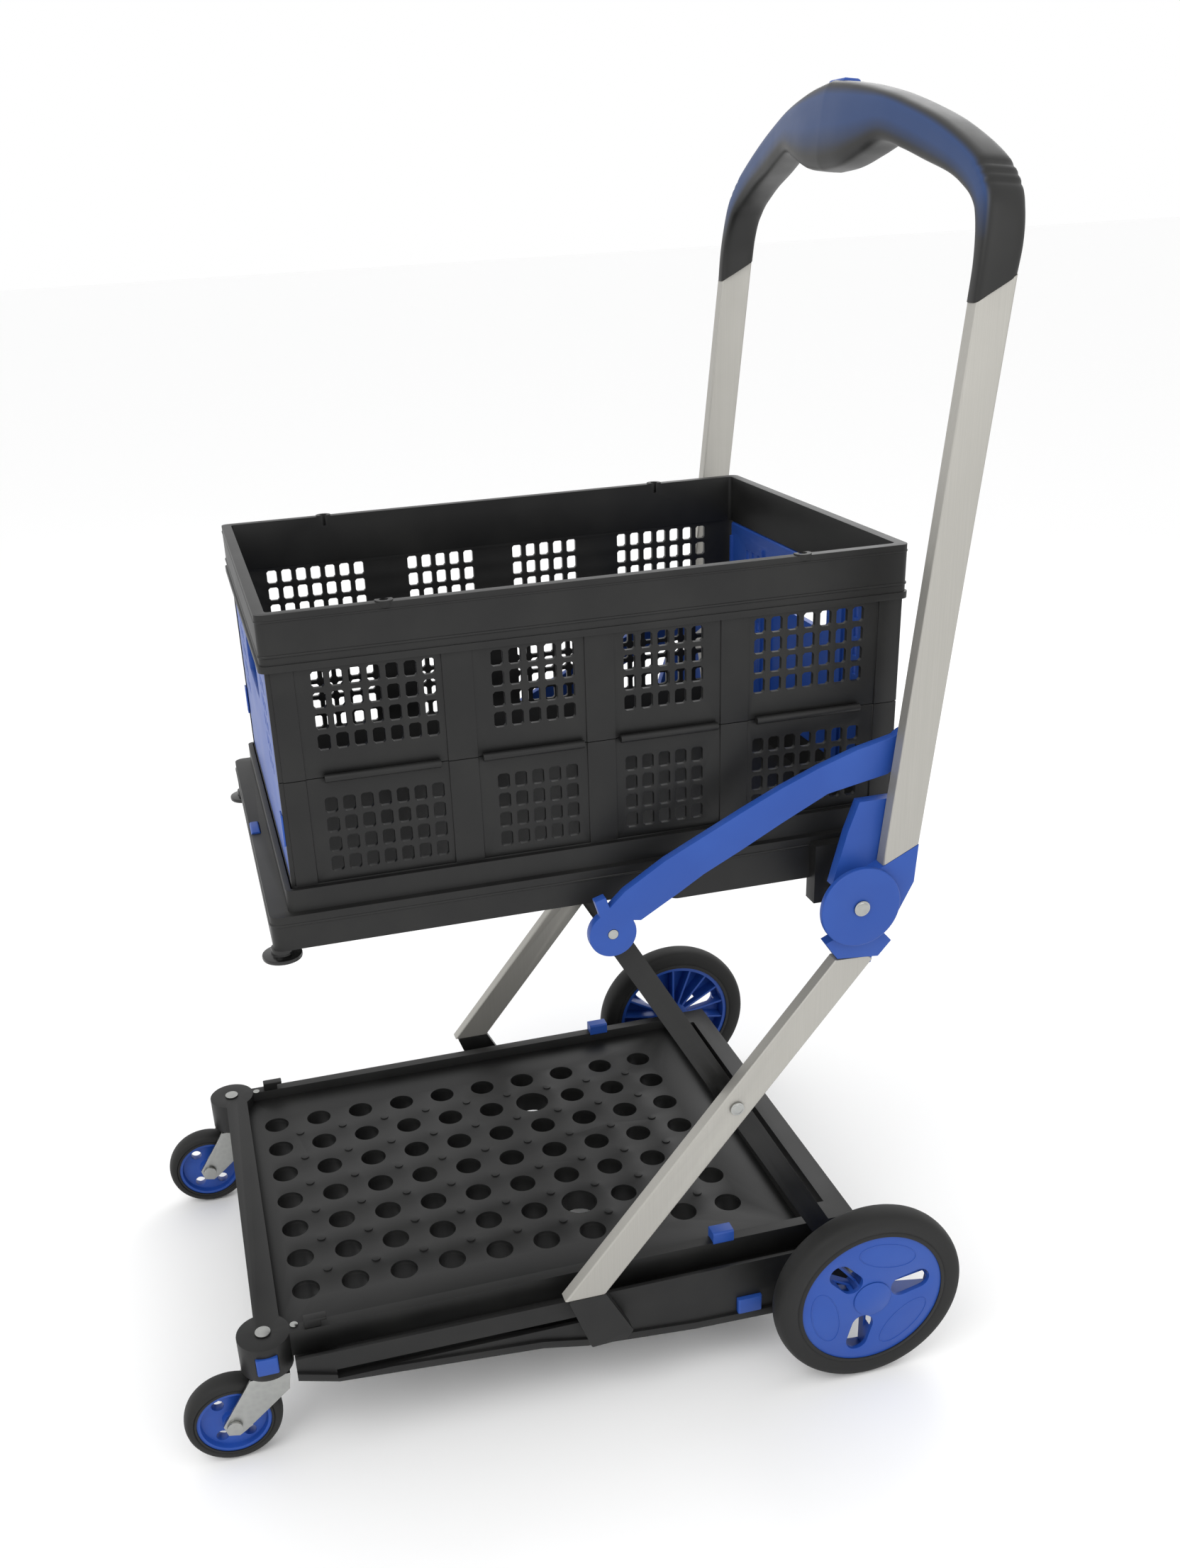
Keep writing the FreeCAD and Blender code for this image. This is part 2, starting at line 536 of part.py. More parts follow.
def make_tray():
    tray_wide, tray_long = "2 * tray_half", "tray_back - tray_front"
    upright = along(Vec(0, 0, 1))
    outer = rounded(box("-tray_half", "tray_front", "tray_low", tray_wide, tray_long,
                        "tray_rim - tray_low"), 8, upright)
    collar = rounded(box("-%s - wall_play - 4" % BODY_HALF, "%s - wall_play - 4" % BODY_FRONT,
                         "tray_floor", "2 * (%s + wall_play + 4)" % BODY_HALF,
                         "%s - %s + 2 * (wall_play + 4)" % (BODY_BACK, BODY_FRONT),
                         "collar_top - tray_floor"), 5, upright)
    skirt = rounded(box("-tray_half", "skirt_start", "skirt_low", tray_wide,
                        "tray_back - skirt_start", "tray_low - skirt_low + 1"), 6, upright)
    well = box("-%s - wall_play" % BODY_HALF, "%s - wall_play" % BODY_FRONT, "tray_floor + floor_thick",
               "2 * (%s + wall_play)" % BODY_HALF, "%s - %s + 2 * wall_play" % (BODY_BACK, BODY_FRONT), 60)
    under = box("-tray_half + 4", "tray_front + 4", "skirt_low - 5", "2 * tray_half - 8",
                "tray_back - tray_front - 8", "tray_floor - skirt_low + 5")
    ears = [box(x, "%s - 18" % HUB_Y, "%s - 14" % HUB_Z, "ear_out - tray_half + 4", 36,
                "tray_rim - (%s) + 10" % HUB_Z) for x in ("tray_half - 4", "-ear_out")]
    bore = rod("x", "-ear_out - 5", HUB_Y, HUB_Z, "pin_rad + 1 + run_gap", "2 * ear_out + 10")
    notch = box(-12.4, "tray_front - 1", "tray_rim - 5", 24.8, 9.4, 8)
    shell = cut(fuse(cut(fuse(outer, collar, skirt), well, under), *ears), bore, notch)
    node("tray", shell)
    node("tray_clip", rounded(box(-12, "tray_front + 0.4", "tray_rim - 4.6", 24, 7.6, 6), 1.5,
                              along(Vec(1, 0, 0))))
    feet = [fuse(rod("z", x, "tray_front + 6", "tray_low - 6", 8, 6),
                 rod("z", x, "tray_front + 6", "tray_low - 9", 15, 3.4))
            for x in ("tray_half - 10", "10 - tray_half")]
    node("tray_feet", group(*feet))


# Crate -----------------------------------------------------------------------------------

def soft_opening(x, y, z, a, b, corner):
    """The outline of one small opening with cut corners, in a plane across X."""
    ring = [(-a, corner - b), (corner - a, -b), (a - corner, -b), (a, corner - b),
            (a, b - corner), (a - corner, b), (corner - a, b), (-a, b - corner)]
    return Part.makePolygon([Vec(x, y + dy, z + dz) for dy, dz in ring + ring[:1]])


def lattice(x, fold_low, fold_high, row_low):
    """A long side panel: a plate with four windows of small openings, and pillars between."""
    thick, front, back = val("panel_thick"), val(BODY_FRONT), val(BODY_BACK)
    mid, pitch, rows = val(CRATE_MID), val("cell_pitch"), val("row_pitch")
    frame = Part.makePolygon([Vec(x, front, fold_low), Vec(x, back, fold_low), Vec(x, back, fold_high),
                              Vec(x, front, fold_high), Vec(x, front, fold_low)])
    wires = [frame]
    wide, tall = val("cell_wide"), val("cell_tall")
    for centre, cells in ((-163, 7), (-49, 5), (49, 5), (163, 7)):
        for i in range(cells):
            for j in range(4):
                y = mid + centre + (i - (cells - 1) / 2) * pitch
                z = row_low + j * rows
                wires.append(soft_opening(x, y, z, wide / 2, tall / 2, val("cell_corner")))
    plate = Part.makeFace(wires, "Part::FaceMakerBullseye").extrude(Vec(-thick, 0, 0))
    pillars = []
    for y, half in ((-226, 8), (-104, 11), (0, 11), (104, 11), (226, 8)):
        pillars.append(Part.makeBox(1.6, 2 * half, fold_high - fold_low,
                                    Vec(x - 0.4, mid + y - half, fold_low)))
    return plate.multiFuse(pillars).removeSplitter()


def make_crate():
    long_y = "crate_back - crate_front"
    upright = along(Vec(0, 0, 1))
    band = rounded(box("-crate_half", "crate_front", "band_low", "2 * crate_half", long_y,
                       "crate_top - band_low"), 6, upright)
    lip = rounded(box("-crate_half - 1.5", "crate_front - 1.5", "band_low", "2 * crate_half + 3",
                      long_y + " + 3", 5), 7, upright)
    hollow = rounded(box("-crate_half + band_thick", "crate_front + band_thick", "band_low - 5",
                         "2 * (crate_half - band_thick)", long_y + " - 2 * band_thick", 60), 3, upright)
    bosses = [rod("z", x, y, "crate_top - 3", 6.5, 4) for x in ("crate_half - 5", "5 - crate_half")
              for y in ("crate_front + 89", "crate_back - 83")]
    bores = [rod("z", x, y, "crate_top - 8", 3.2, 15) for x in ("crate_half - 5", "5 - crate_half")
             for y in ("crate_front + 89", "crate_back - 83")]
    node("crate_rim", cut(fuse(band, lip, *bosses), hollow, *bores))
    floor = rounded(box("-%s" % BODY_HALF, BODY_FRONT, "crate_low", "2 * %s" % BODY_HALF,
                        "%s - %s" % (BODY_BACK, BODY_FRONT), "sill_top - crate_low"), 4, upright)
    basin = box("-%s + panel_thick" % BODY_HALF, "%s + panel_thick" % BODY_FRONT, "crate_low + 4",
                "2 * (%s - panel_thick)" % BODY_HALF,
                "%s - %s - 2 * panel_thick" % (BODY_BACK, BODY_FRONT), 60)
    node("crate_floor", cut(floor, basin))
    doc.recompute()
    outside = val(BODY_HALF)
    high = lattice(outside, val("fold_line + 0.2"), val("band_low"), 612.4)
    low = lattice(outside, val("sill_top"), val("fold_line - 0.2"), 519.4)
    pair("side_panel_upper", solid(high))
    pair("side_panel_lower", solid(low))
    barrels = []
    for y, half in ((-163, 42), (-52, 38), (52, 38), (163, 42)):
        start = "%s + %g - %g" % (CRATE_MID, y, half)
        barrel = rod("y", "%s + barrel_rad" % BODY_HALF, start, "fold_line", "barrel_rad", 2 * half)
        leaf = box(BODY_HALF, start, "fold_line - 2", "barrel_rad", 2 * half, 4)
        barrels.append(fuse(barrel, leaf))
    both("panel_hinges", group(*barrels))
    make_end_panels()


def plate_outline(x, y, z, half_x, half_z, corner=0):
    """A rectangle in a plane across Y, with cut corners if a corner size is given."""
    a, b = half_x, half_z
    ring = [(-a, corner - b), (corner - a, -b), (a - corner, -b), (a, corner - b),
            (a, b - corner), (a - corner, b), (corner - a, b), (-a, b - corner)]
    if not corner:
        ring = [(-a, -b), (a, -b), (a, b), (-a, b)]
    return Part.makePolygon([Vec(x + dx, y, z + dz) for dx, dz in ring + ring[:1]])


def end_panel(y0, outward):
    """A short end panel: a plate with a hand-hold, two grilles, stiffening ribs and a rolled top."""
    half, thick = val("crate_half - body_inset - end_inset"), val("end_thick")
    low, high = val("sill_top + 1.5"), val("band_low - 3.5")
    wires = [plate_outline(0, y0, (low + high) / 2, half, (high - low) / 2),
             plate_outline(0, y0, high - 37, val("hold_half"), 15, 8)]
    slot_x, pitch, rows = 92, val("cell_pitch"), val("row_pitch")
    for side in (-1, 1):
        for i in range(3):
            for j in range(5):
                x, z = side * (slot_x + pitch * i), high - 22 - rows * j
                wires.append(plate_outline(x, y0, z, 3, 5))
    plate = Part.makeFace(wires, "Part::FaceMakerBullseye").extrude(Vec(0, thick, 0))
    rib_y = y0 + thick - 0.5 if outward < 0 else y0 - 2
    short, tall = high - low - 60, high - low - 12
    ribs = [Part.makeBox(3, 2.5, short, Vec(x - 1.5, rib_y, low + 2)) for x in range(-60, 61, 30)]
    ribs += [Part.makeBox(3, 2.5, tall, Vec(x - 1.5, rib_y, low + 2))
             for x in (-82, 82, 2 - half, half - 2)]
    roll = Part.makeCylinder(thick / 2, 2 * half, Vec(-half, y0 + thick / 2, high), Vec(1, 0, 0))
    return solid(plate.multiFuse(ribs + [roll]).removeSplitter())


def make_end_panels():
    gap = 0.6
    node("front_panel", end_panel(val(BODY_FRONT) + gap, -1))
    node("rear_panel", end_panel(val(BODY_BACK) - gap - val("end_thick"), 1))
    latches = [rounded(box(x, "%s - 1.4" % BODY_FRONT, 538, 11, 1.4, 24), 0.5, along(Vec(0, 0, 1)))
               for x in ("%s - 11" % BODY_HALF, "-%s" % BODY_HALF)]
    node("crate_latches", group(*latches))


# Handle ----------------------------------------------------------------------------------

HANDLE_UP = "(90 - handle_lean)"


def handle_bar(start, end, half, x, thick):
    return slab(bar_points("handle_axis", "handle_low", HANDLE_UP, start, end, half), x, thick)


def make_handle():
    tube = handle_bar(-20, "handle_long + 20", "tube_wide / 2", "handle_x", "tube_thick")
    hollow = handle_bar(-60, "handle_long + 60", "tube_wide / 2 - tube_wall", "handle_x + tube_wall",
                        "tube_thick - 2 * tube_wall")
    trims = [slab(near(HUB_Y, HUB_Z, [(-33, 3.5), (88, 63.4), (88, -60), (-33, -60)]),
                  "handle_x - 5", 30),
             slab([(200, 821), (400, 931), (400, 960), (200, 960)], "handle_x - 5", 30)]
    pair("handle_tube", cut(rounded(tube, 1.6, lambda e: e.Length > 100), hollow, *trims))
    shell = slab(near(HUB_Y, HUB_Z, [(-13, 13), (19.2, 29), (48, 43), (46, 12), (33, -14), (12, -14)]),
                 "handle_x - 1", "tube_thick + 1")
    eye = rod("x", "handle_x - 1", HUB_Y, HUB_Z, 20, "tube_thick + 1")
    knuckle = slab(near(HUB_Y, HUB_Z, [(-16, 13), (-5, 55), (3.5, 79), (34, 79), (40, 30), (12, -14)]),
                   "handle_x - 9.8", "9.3")
    bore = rod("x", "handle_x - 40", HUB_Y, HUB_Z, "pin_rad + 1 + run_gap", 80)
    pair("handle_bracket", cut(fuse(shell, eye, knuckle), bore))
    make_grip()


# Stations of the grip from one limb's end to the middle, in the handle's own plane: outer x and z,
# inner x and z, and how far the grip bows forward there.
GRIP = [(229.3, 884, 213.9, 884, 0), (229.3, 905, 214.5, 905, 0), (227, 925, 209, 924, 0),
        (221.5, 942, 199, 936, 0), (209, 957, 184, 944.5, 0.5), (186, 971, 165, 952.5, 2),
        (150, 987, 135, 961, 5.5), (115, 998.5, 108, 969, 9.5), (84, 1007, 82, 974.5, 13),
        (58, 1012.5, 56, 967.5, 15.5), (30, 1017, 29, 960.5, 17.3), (0, 1020, 0, 958, 18)]


def grip_section(station, slant):
    """A closed outline with cut corners across the grip at a station."""
    outer_x, outer_z, inner_x, inner_z, bow = station
    outer, inner = Vec(outer_x, 0, outer_z), Vec(inner_x, 0, inner_z)
    middle, reach = (outer + inner) / 2, (outer - inner) / 2
    half = val("grip_deep") / 2
    corner = min(5, reach.Length * 0.6)
    across = (reach.Length - corner) / reach.Length
    ring = [(1, corner / half - 1), (1, 1 - corner / half), (across, 1), (-across, 1),
            (-1, 1 - corner / half), (-1, corner / half - 1), (-across, -1), (across, -1)]
    points = [middle + reach * a + Vec(0, half * b - bow, slant * half * b) for a, b in ring]
    return Part.makePolygon(points + points[:1])


def lean_back(shape):
    """Stand a shape made in the handle's upright plane at its place, leaning back."""
    axis_y, low = val("handle_axis"), val("handle_low")
    shape.translate(Vec(0, axis_y, 0))
    shape.rotate(Vec(0, axis_y, low), Vec(1, 0, 0), -val("handle_lean"))
    return shape


def make_grip():
    """The moulded grip, lofted through its stations, and the release button in its top."""
    slants = (0.652, 0.35, 0.1)
    limb = [grip_section(s, slants[i] if i < len(slants) else 0) for i, s in enumerate(GRIP)]
    mirrored = [wire.mirror(Vec(), Vec(1, 0, 0)) for wire in limb[:-1]]
    body = Part.makeLoft(limb + mirrored[::-1], True, True)
    top, bow = val("grip_top"), GRIP[-1][-1]
    button = Part.makeBox(26, 14, 12, Vec(-13, -7 - bow, top - 11))
    button = button.makeFillet(2.5, [e for e in button.Edges if abs(e.Curve.Direction.z) < 0.1])
    pocket = Part.makeBox(26.8, 14.8, 30, Vec(-13.4, -7.4 - bow, top - 15))
    for item in (body, button, pocket):
        lean_back(item)
    doc.recompute()
    for tool in (pocket, nodes["handle_tube_left"].Shape, nodes["handle_tube_right"].Shape):
        body = body.cut(tool)
    node("grip", solid(max(body.Solids, key=lambda piece: piece.Volume)))
    node("grip_button", solid(button))


make_platform()
make_side_channels()
make_deck()
make_platform_fittings()
make_rear_wheels()
make_casters()
make_inner_legs()
make_outer_legs()
make_brace_arms()
make_tray()
make_crate()
make_handle()
doc.recompute()

for item in doc.Objects:
    if "Invalid" in item.State or "Error" in item.State:
        raise RuntimeError("failed object: %s %s" % (item.Label, item.State))
for name, item in nodes.items():
    if item.Shape.isNull() or not item.Shape.isValid() or not item.Shape.Solids:
        raise RuntimeError("bad shape: " + name)
for name, item in nodes.items():
    item.Shape.exportStep("parts/%s.step" % name)
    extent = item.Shape.BoundBox
    print("%-26s solids %2d  x %7.1f %7.1f  y %7.1f %7.1f  z %7.1f %7.1f" % (
        name, len(item.Shape.Solids), extent.XMin, extent.XMax, extent.YMin, extent.YMax,
        extent.ZMin, extent.ZMax))
print(len(nodes), "nodes")
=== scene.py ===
# %% [markdown]
# # A folding platform cart
# A two-level cart: a perforated lower deck on two large wheels and two swivelling casters, a scissor
# frame, an upper tray with a folding crate, and a push handle. The engineering model is loaded
# first and stays where it is. Everything made here is a finished surface that stands for one of its
# pieces, or a small detail that rides on one.

# %% Load the engineering model
import json
import math
import bmesh
import bpy
from mathutils import Matrix, Vector


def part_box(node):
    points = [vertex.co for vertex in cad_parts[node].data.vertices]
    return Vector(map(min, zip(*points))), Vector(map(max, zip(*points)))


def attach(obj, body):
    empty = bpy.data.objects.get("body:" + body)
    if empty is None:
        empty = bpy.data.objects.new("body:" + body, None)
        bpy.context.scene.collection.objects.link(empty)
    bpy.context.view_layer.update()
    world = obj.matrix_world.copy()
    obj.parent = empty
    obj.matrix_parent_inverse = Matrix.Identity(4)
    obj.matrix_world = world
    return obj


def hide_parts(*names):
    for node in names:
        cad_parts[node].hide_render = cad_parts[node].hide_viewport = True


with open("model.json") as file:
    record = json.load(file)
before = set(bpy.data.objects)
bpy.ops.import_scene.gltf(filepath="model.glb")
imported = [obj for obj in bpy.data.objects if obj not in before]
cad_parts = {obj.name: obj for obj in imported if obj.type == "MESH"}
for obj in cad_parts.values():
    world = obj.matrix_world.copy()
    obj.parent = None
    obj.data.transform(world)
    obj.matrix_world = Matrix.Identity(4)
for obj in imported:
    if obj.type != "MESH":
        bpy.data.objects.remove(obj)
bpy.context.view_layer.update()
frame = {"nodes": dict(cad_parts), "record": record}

NODE_BODY = {node: body for body, names in frame["record"]["behaviour"]["bodies"].items()
             for node in names}
MM = 0.001
print("nodes loaded:", len(NODE_BODY))

# %% [markdown]
# ## The camera
# A camera is a place, a direction and a lens. This one stands to the left of the cart, a little in
# front of it and above it, and looks down across the crate, so both levels and one wheel show.

# %% Place the camera
CAMERA_PLACE = Vector((1.1308, -0.2358, 0.9452))
CAMERA_YAW, CAMERA_PITCH, CAMERA_ROLL = (math.radians(a) for a in (77.01, -24.89, -3.17))

forward = Vector((-math.sin(CAMERA_YAW) * math.cos(CAMERA_PITCH),
                  math.cos(CAMERA_YAW) * math.cos(CAMERA_PITCH), math.sin(CAMERA_PITCH)))
level_right = forward.cross(Vector((0, 0, 1))).normalized()
level_up = level_right.cross(forward)
right = level_right * math.cos(CAMERA_ROLL) + level_up * math.sin(CAMERA_ROLL)
up = level_up * math.cos(CAMERA_ROLL) - level_right * math.sin(CAMERA_ROLL)

camera_data = bpy.data.cameras.new("camera")
camera_data.sensor_width = 36
camera_data.lens = 33.08
camera_data.shift_x = 0.0437
camera_data.shift_y = 0.0591
camera = bpy.data.objects.new("camera", camera_data)
bpy.context.scene.collection.objects.link(camera)
camera.matrix_world = Matrix((right, up, -forward)).transposed().to_4x4()
camera.matrix_world.translation = CAMERA_PLACE
bpy.context.scene.camera = camera
print("camera at", tuple(round(v, 3) for v in CAMERA_PLACE))

# %% [markdown]
# ## Light and floor
# Product pictures are lit by large soft sources, because a big light makes broad, gentle
# highlights on plastic. One large panel hangs above and in front, one fills from the camera's side and
# one low panel behind picks out the edges of the black parts.

# %% Build the studio
def area_light(name, place, target, size, power):
    data = bpy.data.lights.new(name, "AREA")
    data.shape = "SQUARE"
    data.size = size
    data.energy = power
    lamp = bpy.data.objects.new(name, data)
    bpy.context.scene.collection.objects.link(lamp)
    lamp.location = place
    lamp.rotation_euler = (Vector(target) - Vector(place)).to_track_quat("-Z", "Y").to_euler()


def hex_color(code):
    """An sRGB hex colour as the linear colour that shaders use."""
    parts = [int(code[i:i + 2], 16) / 255 for i in (1, 3, 5)]
    return [c / 12.92 if c <= 0.04045 else ((c + 0.055) / 1.055) ** 2.4 for c in parts] + [1.0]


area_light("key_light", (1.4, -1.6, 2.6), (0, 0, 0.5), 1.8, 26)
area_light("fill_light", (2.6, 0.9, 1.5), (0, 0.1, 0.5), 1.6, 9)
area_light("rim_light", (-1.8, 1.4, 1.9), (0, 0, 0.5), 1.4, 12)

world = bpy.data.worlds.new("studio")
world.use_nodes = True
world.node_tree.nodes["Background"].inputs["Color"].default_value = hex_color("#FFFFFF")
world.node_tree.nodes["Background"].inputs["Strength"].default_value = 1.0
bpy.context.scene.world = world
bpy.context.scene.view_settings.view_transform = "Standard"

# %% [markdown]
# ## One way to write a shader
# A material here is a Principled shader with a few texture nodes in front of it. `add_node` adds one
# node, sets its sockets and links it, so each material reads as a short list. A surface pattern is
# given in real millimetres: a noise texture of scale `s` has features of about `1 / s` metres.

# %% The node helper and the material frame
def add_node(tree, kind, settings=None, links=None, **options):
    """Add one node, set plain properties and sockets, and link its inputs from other sockets."""
    item = tree.nodes.new(kind)
    for name, value in options.items():
        setattr(item, name, value)
    for socket, value in (settings or {}).items():
        item.inputs[socket].default_value = value
    for socket, source in (links or {}).items():
        tree.links.new(source, item.inputs[socket])
    return item


def new_material(name, settings):
    """A material whose Principled shader holds the values that are the same all over it."""
    material = bpy.data.materials.new(name)
    material.use_nodes = True
    shader = material.node_tree.nodes["Principled BSDF"]
    for socket, value in settings.items():
        shader.inputs[socket].default_value = value
    return material, material.node_tree, shader


def per_mm(size):
    """The texture scale that gives features of a size in millimetres, in metre coordinates."""
    return 1 / (size * MM)


# %% [markdown]
# ## Moulded polypropylene
# The deck, tray, crate and brackets are injection-moulded polypropylene. The tool is spark-eroded,
# which leaves a fine even grain that breaks up reflections, and handling polishes the high spots. So the
# finish is a dark or a blue base, a roughness that drifts by a few percent, a grain of
# about 0.9 mm (coarser than the real 0.2 mm, so that it shows) and slow waves from shrinkage.

# %% Make the moulded plastics
def moulded_plastic(name, base, worn, roughness, grain_mm=0.9, bump_mm=0.035, shine=0.35):
    material, tree, shader = new_material(name, {"IOR": 1.49, "Specular IOR Level": shine})
    where = add_node(tree, "ShaderNodeTexCoord")
    grain = add_node(tree, "ShaderNodeTexNoise", {"Scale": per_mm(grain_mm), "Detail": 2.0},
                     {"Vector": where.outputs["Object"]})
    waves = add_node(tree, "ShaderNodeTexNoise", {"Scale": per_mm(55), "Detail": 3.0},
                     {"Vector": where.outputs["Object"]})
    tint = add_node(tree, "ShaderNodeMix", {"A": hex_color(base), "B": hex_color(worn)},
                    data_type="RGBA")
    spread = add_node(tree, "ShaderNodeMapRange", {"From Min": 0.4, "From Max": 0.75},
                      {"Value": waves.outputs["Fac"]})
    tree.links.new(spread.outputs["Result"], tint.inputs["Factor"])
    tree.links.new(tint.outputs["Result"], shader.inputs["Base Color"])
    gloss = add_node(tree, "ShaderNodeMapRange",
                     {"To Min": roughness - 0.07, "To Max": roughness + 0.08},
                     {"Value": waves.outputs["Fac"]})
    tree.links.new(gloss.outputs["Result"], shader.inputs["Roughness"])
    fine = add_node(tree, "ShaderNodeBump", {"Strength": 0.5, "Distance": bump_mm * MM},
                    {"Height": grain.outputs["Fac"]})
    broad = add_node(tree, "ShaderNodeBump", {"Strength": 0.35, "Distance": 0.25 * MM},
                     {"Height": waves.outputs["Fac"], "Normal": fine.outputs["Normal"]})
    tree.links.new(broad.outputs["Normal"], shader.inputs["Normal"])
    return material


black_pp = moulded_plastic("black_polypropylene_spark_grain", "#131313", "#1D1D1C", 0.46)
black_gloss = moulded_plastic("black_polypropylene_polished", "#111111", "#191918", 0.2,
                              bump_mm=0.01, shine=0.5)
blue_pp = moulded_plastic("blue_polypropylene_spark_grain", "#214796", "#274E9E", 0.42)
blue_hub_pp = moulded_plastic("blue_polypropylene_wheel", "#1F4698", "#254D9F", 0.38)
print("plastics:", black_pp.name, blue_pp.name)

# %% [markdown]
# ## Anodised aluminium
# The legs and handle tubes are extruded flat-oval section, etched and clear anodised. Etching leaves
# a matte satin, and extrusion leaves hairlines along the length. The hairlines are a noise that is
# stretched along the bar: 0.5 mm across and 60 mm long.

# %% Make the anodised aluminium
def anodised(name, angle):
    """Angle is the bar's tilt from the vertical in the Y-Z plane."""
    material, tree, shader = new_material(name, {"Metallic": 0.55})
    where = add_node(tree, "ShaderNodeTexCoord")
    turn = add_node(tree, "ShaderNodeMapping", {"Rotation": (angle, 0, 0), "Scale": (1, 1, 1 / 120)},
                    {"Vector": where.outputs["Object"]}, vector_type="POINT")
    lines = add_node(tree, "ShaderNodeTexNoise", {"Scale": per_mm(0.5), "Detail": 2.0},
                     {"Vector": turn.outputs["Vector"]})
    cloud = add_node(tree, "ShaderNodeTexNoise", {"Scale": per_mm(40), "Detail": 4.0},
                     {"Vector": where.outputs["Object"]})
    tint = add_node(tree, "ShaderNodeMix", {"A": hex_color("#A3A19B"), "B": hex_color("#B0AEA8")},
                    {"Factor": lines.outputs["Fac"]}, data_type="RGBA")
    tree.links.new(tint.outputs["Result"], shader.inputs["Base Color"])
    gloss = add_node(tree, "ShaderNodeMapRange", {"To Min": 0.38, "To Max": 0.56},
                     {"Value": cloud.outputs["Fac"]})
    tree.links.new(gloss.outputs["Result"], shader.inputs["Roughness"])
    bump = add_node(tree, "ShaderNodeBump", {"Strength": 0.3, "Distance": 0.02 * MM},
                    {"Height": lines.outputs["Fac"]})
    tree.links.new(bump.outputs["Normal"], shader.inputs["Normal"])
    return material


leg_aluminium = anodised("anodised_aluminium_leg", math.radians(-39.4))
tube_aluminium = anodised("anodised_aluminium_handle", math.radians(6.05))
print("aluminium:", leg_aluminium.name)

# %% [markdown]
# ## Zinc-plated steel and tyre rubber
# The caster forks, the axle and the rivets are pressed or turned steel with bright zinc plate, which
# is a grey metal with faint cloudy spangle. The tyres are black rubber: nearly all of its look is
# a high roughness and a dusty film, so the colour gets lighter in patches.

# %% Make the steel and the rubber
def plated_steel(name, low, high):
    material, tree, shader = new_material(name, {"Metallic": 1.0})
    where = add_node(tree, "ShaderNodeTexCoord")
    spangle = add_node(tree, "ShaderNodeTexVoronoi", {"Scale": per_mm(5)},
                       {"Vector": where.outputs["Object"]})
    cloud = add_node(tree, "ShaderNodeTexNoise", {"Scale": per_mm(14), "Detail": 4.0},
                     {"Vector": where.outputs["Object"]})
    tint = add_node(tree, "ShaderNodeMix", {"A": hex_color("#9FA09E"), "B": hex_color("#A9AAA7")},
                    {"Factor": spangle.outputs["Distance"]}, data_type="RGBA")
    tree.links.new(tint.outputs["Result"], shader.inputs["Base Color"])
    gloss = add_node(tree, "ShaderNodeMapRange", {"To Min": low, "To Max": high},
                     {"Value": cloud.outputs["Fac"]})
    tree.links.new(gloss.outputs["Result"], shader.inputs["Roughness"])
    bump = add_node(tree, "ShaderNodeBump", {"Strength": 0.2, "Distance": 0.05 * MM},
                    {"Height": cloud.outputs["Fac"]})
    tree.links.new(bump.outputs["Normal"], shader.inputs["Normal"])
    return material


def tyre_rubber():
    material, tree, shader = new_material("tyre_rubber", {"Specular IOR Level": 0.3})
    where = add_node(tree, "ShaderNodeTexCoord")
    dust = add_node(tree, "ShaderNodeTexNoise", {"Scale": per_mm(18), "Detail": 6.0},
                    {"Vector": where.outputs["Object"]})
    grain = add_node(tree, "ShaderNodeTexNoise", {"Scale": per_mm(1.1)},
                     {"Vector": where.outputs["Object"]})
    tint = add_node(tree, "ShaderNodeMix", {"A": hex_color("#141414"), "B": hex_color("#232322")},
                    {"Factor": dust.outputs["Fac"]}, data_type="RGBA")
    tree.links.new(tint.outputs["Result"], shader.inputs["Base Color"])
    gloss = add_node(tree, "ShaderNodeMapRange", {"To Min": 0.5, "To Max": 0.75},
                     {"Value": dust.outputs["Fac"]})
    tree.links.new(gloss.outputs["Result"], shader.inputs["Roughness"])
    bump = add_node(tree, "ShaderNodeBump", {"Strength": 0.4, "Distance": 0.06 * MM},
                    {"Height": grain.outputs["Fac"]})
    tree.links.new(bump.outputs["Normal"], shader.inputs["Normal"])
    return material


steel = plated_steel("zinc_plated_steel", 0.24, 0.42)
rivet_steel = plated_steel("bright_rivet_steel", 0.12, 0.26)
rubber = tyre_rubber()
print("metals and rubber:", steel.name, rubber.name)

# %% [markdown]
# ## The two-colour grip
# The grip is a hard core with a soft thermoplastic rubber skin. Its front has a blue inlay whose
# edge is sprayed, so blue fades into black. The mesh carries a value called `inlay` at each point
# of the surface, 1 on the blue field and 0 elsewhere, and the material reads it.

